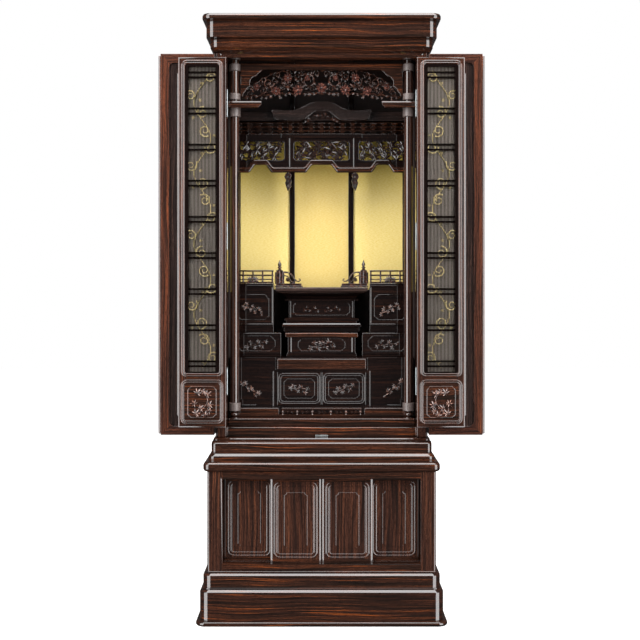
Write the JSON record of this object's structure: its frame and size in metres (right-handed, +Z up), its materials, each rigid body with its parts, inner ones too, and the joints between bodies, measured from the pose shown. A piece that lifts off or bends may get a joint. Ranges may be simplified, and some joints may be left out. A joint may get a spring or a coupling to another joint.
{
  "type": "household altar cabinet",
  "caption": "Tall dark wooden altar cabinet with open folding doors, lattice screens, a tiered gold-backed altar and a low cupboard on a stepped plinth.",
  "frame": {"origin": "on the floor under the middle of the cabinet", "axes": "+Z up, front faces -Y, +X to the right as seen from the front"},
  "size_m": [0.8968, 0.54, 1.626],
  "materials": {
    "lacquered_wood": "glossy dark rosewood lacquer with streaked grain",
    "door_wood": "glossy red-brown rosewood with streaked grain",
    "screen_wood": "glossy dark lacquer",
    "carved_wood": "satin carved wood",
    "pillar_wood": "glossy turned wood with satin collars",
    "gold_leaf": "board covered in satin gold leaf",
    "silk_and_slats": "grey silk with gold scrolls behind dark slats",
    "catch_metal": "satin grey metal"
  },
  "bodies": {
    "cabinet": {"plinth_foot": "lacquered_wood", "plinth_step": "lacquered_wood", "lower_case": "lacquered_wood", "lower_top": "lacquered_wood", "top_board": "lacquered_wood", "seat_board": "lacquered_wood", "upper_case": "lacquered_wood", "inner_floor": "lacquered_wood", "cornice": "lacquered_wood", "door_catch": "catch_metal", "outer_door_left_near": "door_wood", "outer_door_left_far": "door_wood", "pillar_left": "pillar_wood", "arm_left": "lacquered_wood", "wall_post_left": "lacquered_wood", "gold_side_left": "gold_leaf", "carved_drop_left": "carved_wood", "platform_rail_left": "carved_wood", "newel_left": "carved_wood", "side_platform_left": "lacquered_wood", "tier_two_left": "lacquered_wood", "tier_one_door_left": "lacquered_wood", "outer_door_right_near": "door_wood", "outer_door_right_far": "door_wood", "pillar_right": "pillar_wood", "arm_right": "lacquered_wood", "wall_post_right": "lacquered_wood", "gold_side_right": "gold_leaf", "carved_drop_right": "carved_wood", "platform_rail_right": "carved_wood", "newel_right": "carved_wood", "side_platform_right": "lacquered_wood", "tier_two_right": "lacquered_wood", "tier_one_door_right": "lacquered_wood", "gold_wall": "gold_leaf", "transom_board": "lacquered_wood", "wave_rail": "lacquered_wood", "altar_top": "lacquered_wood", "altar_body": "lacquered_wood", "tier_two_desk": "lacquered_wood", "tier_one": "lacquered_wood", "tier_one_shelf": "lacquered_wood", "transom_carving": "carved_wood", "canopy_roof": "carved_wood", "bracket_course": "carved_wood", "canopy_lintel": "carved_wood", "floor_rail": "carved_wood"},
    "screen_left_near": {"screen_frame_left_near": "screen_wood", "screen_insert_left_near": "silk_and_slats"},
    "screen_left_far": {"screen_frame_left_far": "screen_wood", "screen_insert_left_far": "silk_and_slats"},
    "cupboard_door_left_outer": {"cupboard_door_left_outer": "lacquered_wood"},
    "cupboard_door_left_inner": {"cupboard_door_left_inner": "lacquered_wood"},
    "screen_right_near": {"screen_frame_right_near": "screen_wood", "screen_insert_right_near": "silk_and_slats"},
    "screen_right_far": {"screen_frame_right_far": "screen_wood", "screen_insert_right_far": "silk_and_slats"},
    "cupboard_door_right_outer": {"cupboard_door_right_outer": "lacquered_wood"},
    "cupboard_door_right_inner": {"cupboard_door_right_inner": "lacquered_wood"}
  },
  "joints": [
    {"name": "screen_left_hinge", "type": "hinge", "parent": "cabinet", "child": "screen_left_near", "pos_m": [-0.257, -0.142, 1.008], "axis": [0, 0, 1], "range_deg": [0, 180]},
    {"name": "screen_left_fold", "type": "hinge", "parent": "screen_left_near", "child": "screen_left_far", "pos_m": [-0.38535, -0.176, 1.008], "axis": [0, 0, 1], "range_deg": [-180, 0]},
    {"name": "cupboard_left_inner_slide", "type": "slide", "parent": "cabinet", "child": "cupboard_door_left_inner", "axis": [1, 0, 0], "range_m": [-0.124, 0]},
    {"name": "cupboard_left_outer_slide", "type": "slide", "parent": "cabinet", "child": "cupboard_door_left_outer", "axis": [1, 0, 0], "range_m": [0, 0.124]},
    {"name": "screen_right_hinge", "type": "hinge", "parent": "cabinet", "child": "screen_right_near", "pos_m": [0.257, -0.142, 1.008], "axis": [0, 0, -1], "range_deg": [0, 180]},
    {"name": "screen_right_fold", "type": "hinge", "parent": "screen_right_near", "child": "screen_right_far", "pos_m": [0.38535, -0.176, 1.008], "axis": [0, 0, -1], "range_deg": [-180, 0]},
    {"name": "cupboard_right_inner_slide", "type": "slide", "parent": "cabinet", "child": "cupboard_door_right_inner", "axis": [1, 0, 0], "range_m": [0, 0.124]},
    {"name": "cupboard_right_outer_slide", "type": "slide", "parent": "cabinet", "child": "cupboard_door_right_outer", "axis": [1, 0, 0], "range_m": [-0.124, 0]}
  ],
  "couplings": [
    {"joint": "screen_left_fold", "follows": "screen_left_hinge", "ratio": -1},
    {"joint": "screen_right_fold", "follows": "screen_right_hinge", "ratio": -1}
  ]
}
